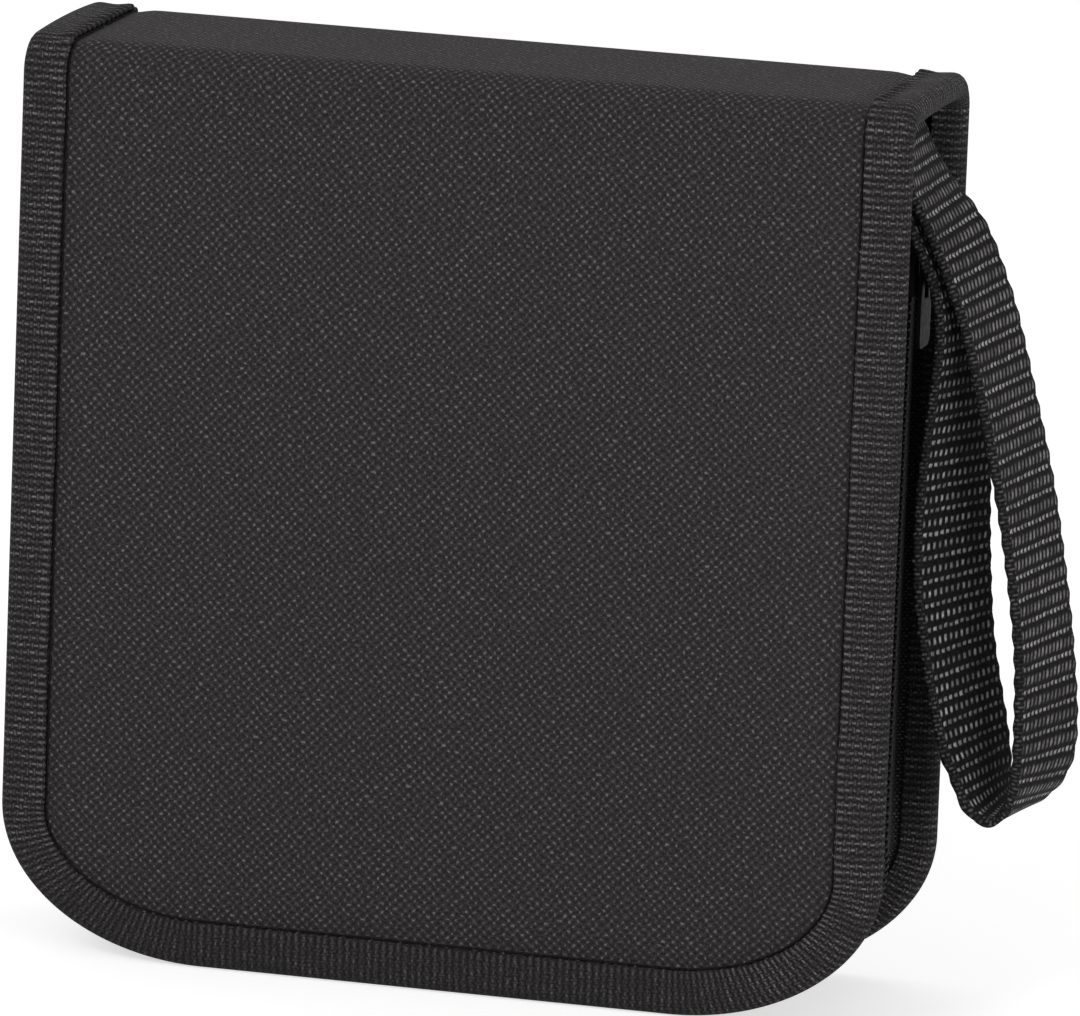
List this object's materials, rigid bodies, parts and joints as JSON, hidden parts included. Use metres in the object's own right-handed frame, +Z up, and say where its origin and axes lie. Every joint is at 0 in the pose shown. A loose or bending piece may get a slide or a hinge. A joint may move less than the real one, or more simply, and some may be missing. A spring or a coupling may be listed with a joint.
{
  "type": "cd storage case",
  "caption": "Soft zip-around storage case for discs, with padded cloth covers, bound edges, sleeve pages inside, a zip with a slider and pull tab, and a hanging hand strap of ribbed webbing.",
  "frame": {"origin": "middle of the bounding box in width and depth, on the floor the closed case stands on", "axes": "+Z up towards the spine, -Y out of the front cover, +X towards the side with the hand strap and zip slider"},
  "size_m": [0.1826, 0.044, 0.1595],
  "materials": {
    "outer_cloth": "black oxford weave nylon, dull",
    "binding_tape": "black grosgrain tape, stitched near its inner edge",
    "strap_webbing": "black ribbed nylon webbing with a slight sheen",
    "zip_tape_cloth": "black woven zip tape",
    "lining_cloth": "black plain lining cloth",
    "stiffener_board": "plain stiffener board, hidden",
    "padding_foam": "soft foam sheet, hidden",
    "zip_coil_nylon": "black nylon coil",
    "slider_metal": "dark grey painted metal",
    "sleeve_pages": "soft page edges of film and felt"
  },
  "bodies": {
    "back_half": {"back_and_spine_fabric": "outer_cloth", "back_cover_padding": "padding_foam", "back_cover_board": "stiffener_board", "back_and_spine_lining": "lining_cloth", "spine_padding": "padding_foam", "spine_board": "stiffener_board", "back_binding_tape": "binding_tape", "back_zip_tape": "zip_tape_cloth", "back_zip_coil": "zip_coil_nylon", "disc_sleeve_pages": "sleeve_pages", "page_binding_strip": "lining_cloth", "hand_strap": "strap_webbing"},
    "front_half": {"front_cover_fabric": "outer_cloth", "front_cover_padding": "padding_foam", "front_cover_board": "stiffener_board", "front_cover_lining": "lining_cloth", "front_binding_tape": "binding_tape", "front_zip_tape": "zip_tape_cloth", "front_zip_coil": "zip_coil_nylon"},
    "slider": {"zip_slider": "slider_metal"},
    "pull": {"zip_pull_tab": "slider_metal"}
  },
  "joints": [
    {"name": "front_cover_hinge", "type": "hinge", "parent": "back_half", "child": "front_half", "pos_m": [-0.0133, -0.022, 0.1526], "axis": [-1, 0, 0], "range_deg": [0, 175]},
    {"name": "zip_slider_slide", "type": "slide", "parent": "back_half", "child": "slider", "axis": [0, 0, -1], "range_m": [0, 0.095]},
    {"name": "zip_pull_hinge", "type": "hinge", "parent": "slider", "child": "pull", "pos_m": [0.0629, 0, 0.13165], "axis": [0, -1, 0], "range_deg": [0, 15]}
  ]
}
